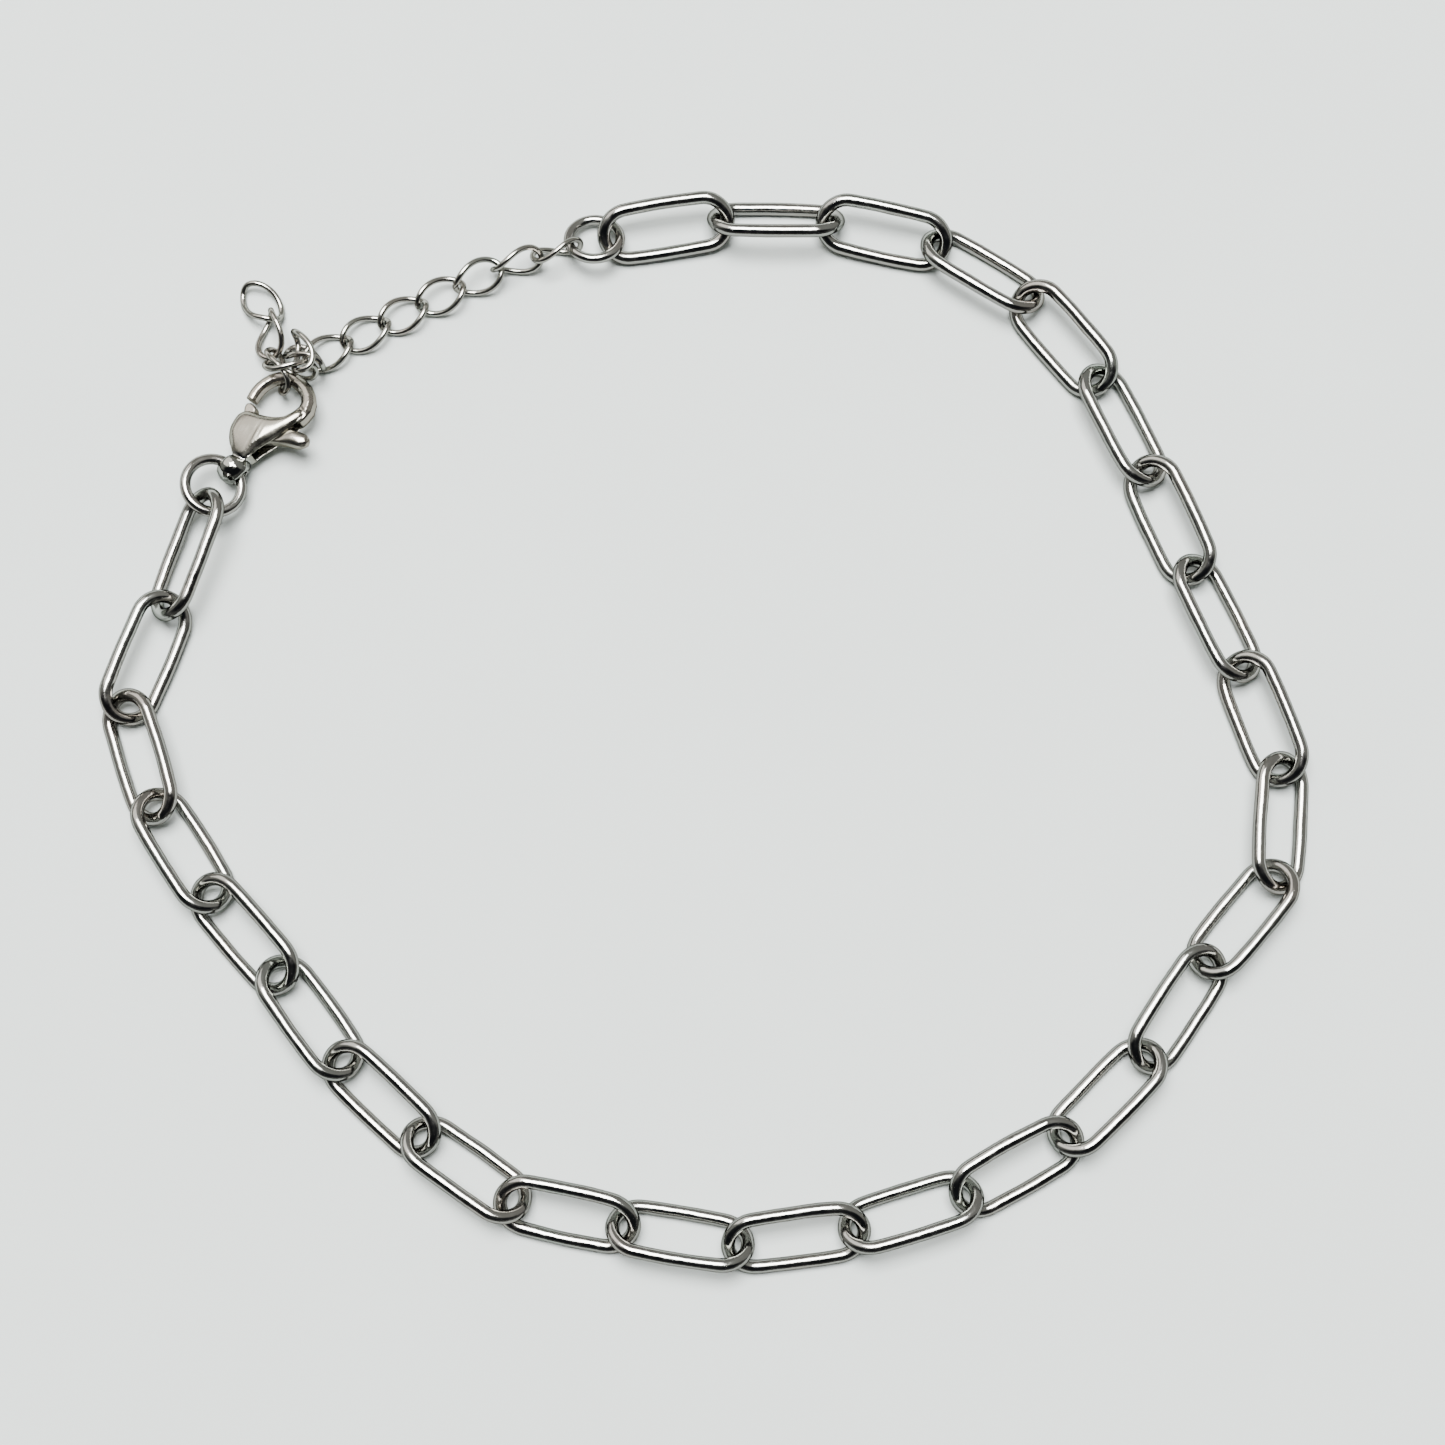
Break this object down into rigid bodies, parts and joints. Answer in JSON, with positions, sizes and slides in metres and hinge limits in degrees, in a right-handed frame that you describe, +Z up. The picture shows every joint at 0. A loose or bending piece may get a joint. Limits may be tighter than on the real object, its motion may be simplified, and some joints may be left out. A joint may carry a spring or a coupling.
{
  "type": "chain anklet",
  "caption": "Polished steel chain anklet lying in a loop: paperclip link chain, curb extender, jump rings and a lobster clasp with a sprung lever.",
  "frame": {"origin": "middle of the bounding box, on the surface that the anklet lies on", "axes": "+Z up from the surface, +X to the right across the loop's long way, +Y toward the extender, as the picture shows it"},
  "size_m": [0.0974, 0.089, 0.0045],
  "materials": {
    "chain_steel": "mirror polished",
    "clasp_steel": "polished, slightly softer than the chain"
  },
  "bodies": {
    "anklet": {"link_01": "chain_steel", "link_02": "chain_steel", "link_03": "chain_steel", "link_04": "chain_steel", "link_05": "chain_steel", "link_06": "chain_steel", "link_07": "chain_steel", "link_08": "chain_steel", "link_09": "chain_steel", "link_10": "chain_steel", "link_11": "chain_steel", "link_12": "chain_steel", "link_13": "chain_steel", "link_14": "chain_steel", "link_15": "chain_steel", "link_16": "chain_steel", "link_17": "chain_steel", "link_18": "chain_steel", "link_19": "chain_steel", "link_20": "chain_steel", "link_21": "chain_steel", "link_22": "chain_steel", "link_23": "chain_steel", "link_24": "chain_steel", "link_25": "chain_steel", "link_26": "chain_steel", "extender_01": "chain_steel", "extender_02": "chain_steel", "extender_03": "chain_steel", "extender_04": "chain_steel", "extender_05": "chain_steel", "extender_06": "chain_steel", "extender_07": "chain_steel", "extender_08": "chain_steel", "extender_09": "chain_steel", "extender_10": "chain_steel", "extender_11": "chain_steel", "extender_12": "chain_steel", "extender_13": "chain_steel", "jump_ring_extender": "chain_steel", "jump_ring_clasp": "chain_steel", "clasp_body": "clasp_steel", "clasp_pin": "clasp_steel"},
    "clasp_lever": {"clasp_lever": "clasp_steel"}
  },
  "joints": [
    {"name": "lever_hinge", "type": "hinge", "parent": "anklet", "child": "clasp_lever", "pos_m": [-0.03766, 0.02322, 0.0016], "axis": [0.1811, -0.1021, -0.9781], "range_deg": [0, 28], "stiffness_Nm_per_rad": 0.002, "springref_deg": -20.05}
  ]
}
